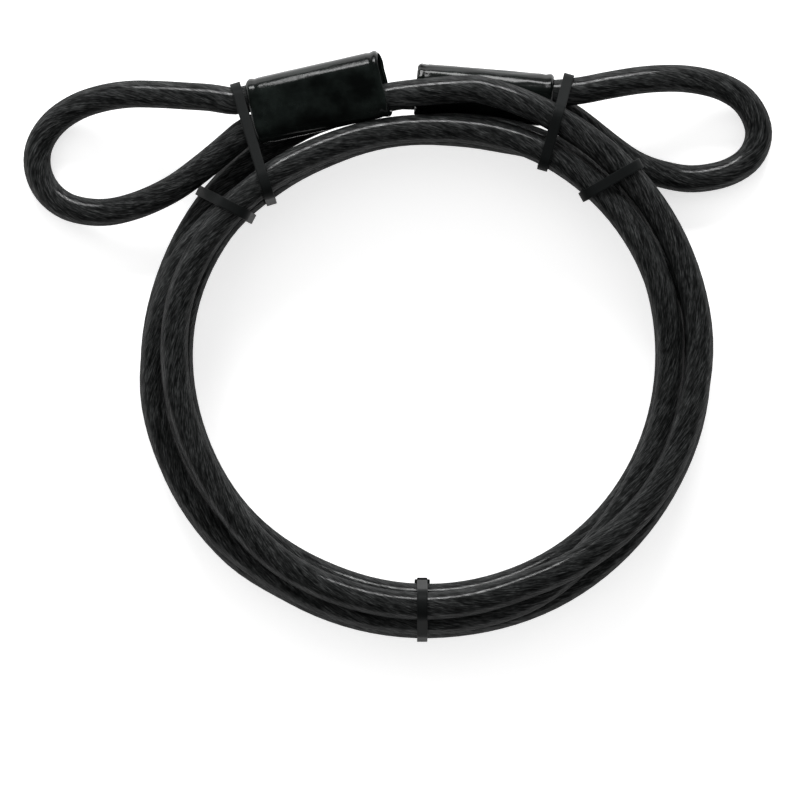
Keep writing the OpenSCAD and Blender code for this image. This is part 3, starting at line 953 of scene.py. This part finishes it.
class CABLELOCK_OT_ties(bpy.types.Operator):
    """Make the five cable ties: a strap round the cables and a head underneath"""

    bl_idname = "cablelock.ties"
    bl_label = "Cable Ties"

    def round_edges(self, obj, width, segments):
        soft = obj.modifiers.new("Edges", "BEVEL")
        soft.width = width
        soft.segments = segments
        soft.limit_method = "ANGLE"
        bpy.ops.object.modifier_apply(modifier=soft.name)

    def block(self, size, place):
        deselect()
        bpy.ops.mesh.primitive_cube_add(size=1, location=(0, 0, 0))
        obj = bpy.context.active_object
        obj.scale = size
        obj.location = place
        bpy.ops.object.transform_apply(location=True, rotation=False, scale=True)
        return obj

    def strap(self, name, line, tie):
        """Thin band along a closed line, upright at the origin."""
        deselect()
        bpy.ops.mesh.primitive_circle_add(vertices=len(line), radius=0.01, location=(0, 0, 0))
        obj = bpy.context.active_object
        obj.name = name
        for v, p in zip(obj.data.vertices, line):
            v.co = Vector((p.x, -tie.width / 2, p.y))
        bpy.ops.object.mode_set(mode="EDIT")
        bpy.ops.mesh.select_mode(type="EDGE")
        bpy.ops.mesh.select_all(action="SELECT")
        for step in STRAP_STRIPS:
            bpy.ops.mesh.extrude_region_move(
                TRANSFORM_OT_translate={"value": (0, step * tie.width, 0)})
        bpy.ops.object.mode_set(mode="OBJECT")
        return obj

    def head(self, place, tie, depth):
        """Tie's head with its slot, standing on the ground under the strap."""
        obj = self.block((tie.head_length, tie.head_width, depth), (place, 0, depth / 2))
        unpick("FACE")
        for face in obj.data.polygons:
            face.select = abs(face.normal.x) > 0.9
        bpy.ops.object.mode_set(mode="EDIT")
        bpy.ops.mesh.inset(thickness=SLOT_RIM, depth=0, use_individual=True)
        bpy.ops.mesh.extrude_faces_move(TRANSFORM_OT_shrink_fatten={"value": -SLOT_DEPTH})
        bpy.ops.object.mode_set(mode="OBJECT")
        self.round_edges(obj, HEAD_ROUND, 3)
        return obj

    def tail(self, place, tie, length, height):
        """Cut end of the strap, where it leaves the head."""
        reach = length + TAIL_INSIDE
        middle = (place - tie.head_length / 2 - length + reach / 2, 0, height)
        obj = self.block((reach, tie.width, tie.thickness), middle)
        self.round_edges(obj, TAIL_ROUND, 2)
        return obj

    def execute(self, context):
        tie = context.scene.cablelock_tie
        cable = context.scene.cablelock_cable
        nylon = shared_material("Satin nylon", tie_nylon, tie)
        coil = smooth_path(coil_route(), cable.step)
        for name, at in TIES.items():
            origin, out, off = tie_plane(at)
            paths = [coil]
            if "eye" in at:
                paths.append(smooth_path(eye_route(at["eye"]), cable.step))
            strands = [
                s for edge in (-tie.width / 2, tie.width / 2)
                for s in strands_in(origin + edge * off, out, off, paths)
            ]
            r = cable.diameter / 2 + tie.slack + tie.thickness / 2
            line = strap_line(strands, r, STRAP_STEP)
            strap = self.strap(name + "_strap", line, tie)
            only(strap)
            wall = strap.modifiers.new("Wall", "SOLIDIFY")
            wall.thickness = tie.thickness
            wall.offset = 0
            wall.use_even_offset = True
            bpy.ops.object.modifier_apply(modifier=wall.name)
            self.round_edges(strap, STRAP_ROUND, 2)
            low = min(p.y for p in line)
            turns = strands_in(origin - tie.width / 2 * off, out, off, [coil])
            above, shift = at.get("head", USUAL_HEAD)
            place = turns[above].x + shift
            head = self.head(place, tie, low)
            length = at.get("tail", tie.tail)
            tail = self.tail(place, tie, length, low - 2 * tie.thickness)
            deselect()
            for part in (head, tail, strap):
                part.select_set(True)
            context.view_layer.objects.active = strap
            bpy.ops.object.join()
            turn = Matrix((out, -off, Vector((0, 0, 1)))).transposed().to_4x4()
            strap.data.transform(Matrix.Translation(origin) @ turn)
            only(strap)
            bpy.ops.object.mode_set(mode="EDIT")
            bpy.ops.mesh.select_all(action="SELECT")
            bpy.ops.mesh.normals_make_consistent(inside=False)
            bpy.ops.object.mode_set(mode="OBJECT")
            bpy.ops.object.shade_smooth_by_angle(angle=math.radians(40))
            finish_piece(strap, nylon, [name], "coil")
        return {"FINISHED"}


class CABLELOCK_OT_stage(bpy.types.Operator):
    """Set the floor, lamps and white surroundings"""

    bl_idname = "cablelock.stage"
    bl_label = "Stage"

    def floor(self, stage):
        deselect()
        bpy.ops.mesh.primitive_plane_add(size=FLOOR_SIZE, location=(0, 0, 0))
        floor = bpy.context.active_object
        floor.name = "floor"
        material, g, shader = new_material("Pale floor")
        place = g.add("ShaderNodeTexCoord").outputs["Object"]
        tint = g.math("ADD", 0.98, g.scaled(g.noise(place, 40.0, 2.0, 0.5), 0.04))
        inputs = {0: stage.floor_colour, "Scale": tint}
        shade = g.add("ShaderNodeVectorMath", inputs, operation="SCALE").outputs[0]
        g.feed(shader, {
            "Base Color": shade,
            "Roughness": 0.9,
            "Specular IOR Level": 0.0,
            "Emission Color": WHITE,
            "Emission Strength": g.scaled(g.seen(), FLOOR_GLOW),
        })
        floor.data.materials.append(material)

    def lamp(self, name, power):
        place, aim, size, seen = LAMPS[name]
        deselect()
        toward = (Vector(aim) - Vector(place)).to_track_quat("-Z", "Y").to_euler()
        bpy.ops.object.light_add(type="AREA", location=place, rotation=toward)
        lamp = bpy.context.active_object
        lamp.name = name
        lamp.data.shape = "RECTANGLE"
        lamp.data.size, lamp.data.size_y = size
        lamp.data.energy = power
        lamp.visible_glossy = seen

    def surroundings(self, context):
        world = bpy.data.worlds.new("Studio")
        context.scene.world = world
        world.use_nodes = True
        world.node_tree.nodes.clear()
        g = Graph(world.node_tree)
        # White round the horizon, darker overhead like a studio ceiling
        way = g.add("ShaderNodeTexCoord").outputs["Generated"]
        height = g.add("ShaderNodeSeparateXYZ", {0: way}).outputs[2]
        backdrop = g.blend(g.ramp(height, 0.02, 0.12), WHITE, CEILING)
        light = g.add("ShaderNodeBackground", {"Color": SKY, "Strength": SKY_STRENGTH})
        shown = g.add("ShaderNodeBackground", {"Color": backdrop, "Strength": 1.0})
        inputs = {0: g.seen(), 1: light.outputs[0], 2: shown.outputs[0]}
        mix = g.add("ShaderNodeMixShader", inputs)
        g.add("ShaderNodeOutputWorld", {"Surface": mix.outputs[0]})

    def execute(self, context):
        stage = context.scene.cablelock_stage
        self.floor(stage)
        self.lamp("overhead", stage.overhead_power)
        self.lamp("softbox", stage.softbox_power)
        self.surroundings(context)
        context.scene.view_settings.view_transform = "Standard"
        return {"FINISHED"}


class CABLELOCK_PT_panel(bpy.types.Panel):
    """Lists the pieces of the cable"""

    bl_idname = "CABLELOCK_PT_panel"
    bl_label = "Coiled Security Cable"
    bl_space_type = "VIEW_3D"
    bl_region_type = "UI"
    bl_category = "Cable"

    def draw(self, context):
        for name in SETTINGS:
            settings = getattr(context.scene, name)
            box = self.layout.box()
            for key in settings.__annotations__:
                box.prop(settings, key)
        for operator in OPERATORS:
            self.layout.operator(operator.bl_idname)


OPERATORS = (
    CABLELOCK_OT_camera, CABLELOCK_OT_coil_cable, CABLELOCK_OT_eyes, CABLELOCK_OT_ferrule_covers,
    CABLELOCK_OT_ferrules, CABLELOCK_OT_ties, CABLELOCK_OT_stage,
)
SETTINGS = {
    "cablelock_cable": CableSettings,
    "cablelock_cover": CoverSettings,
    "cablelock_tie": TieSettings,
    "cablelock_stage": StageSettings,
}
CLASSES = (*SETTINGS.values(), *OPERATORS, CABLELOCK_PT_panel)


def register():
    for made in CLASSES:
        bpy.utils.register_class(made)
    for name, group in SETTINGS.items():
        setattr(bpy.types.Scene, name, bpy.props.PointerProperty(type=group))


def unregister():
    for name in SETTINGS:
        delattr(bpy.types.Scene, name)
    for made in reversed(CLASSES):
        bpy.utils.unregister_class(made)


def main():
    register()
    bpy.ops.cablelock.camera()
    bpy.ops.cablelock.coil_cable()
    bpy.ops.cablelock.eyes()
    bpy.ops.cablelock.ferrule_covers()
    bpy.ops.cablelock.ferrules()
    bpy.ops.cablelock.ties()
    bpy.ops.cablelock.stage()


if __name__ == "__main__":
    main()
